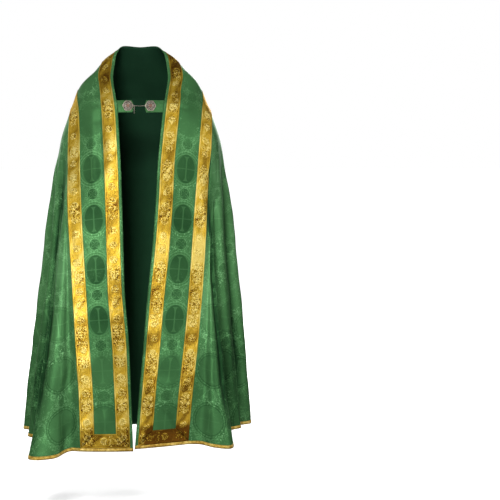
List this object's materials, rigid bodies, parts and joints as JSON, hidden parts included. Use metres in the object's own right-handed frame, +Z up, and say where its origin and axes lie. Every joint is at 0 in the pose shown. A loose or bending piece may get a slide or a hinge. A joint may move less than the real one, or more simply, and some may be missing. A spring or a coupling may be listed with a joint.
{
  "type": "cope vestment",
  "caption": "Open-fronted liturgical cope in patterned cloth, with banded straight edge, U-shaped fringed back hood, braided hem and a chest clasp, hollow as worn.",
  "frame": {"origin": "On the nape: the inner face of the cloth at the centre of the back, level with the shoulder line, where the wearer's neck and shoulders hold the cope up", "axes": "+Z up, -Y out of the front opening, +X to the wearer's left"},
  "size_m": [0.809, 0.5874, 1.4061],
  "materials": {
    "damask": "satin-ground damask, tone on tone",
    "galloon": "gold lurex galloon",
    "braid": "narrow gold braid",
    "bullion": "twisted gold bullion cords",
    "clasp_metal": "antique plated filigree"
  },
  "bodies": {
    "root": {"mantle": "damask", "hood": "damask", "clasp_tab_left": "damask", "clasp_tab_right": "damask", "orphrey_band_edge": "galloon", "orphrey_band_inner": "galloon", "orphrey_foot_left": "galloon", "orphrey_foot_right": "galloon", "orphrey_bar_back": "galloon", "hood_band_top": "galloon", "hood_band_sides": "galloon", "hem_braid": "braid", "hood_fringe": "bullion", "clasp_rosette_left": "clasp_metal", "clasp_rosette_right": "clasp_metal", "clasp_chain": "clasp_metal"}
  },
  "joints": []
}
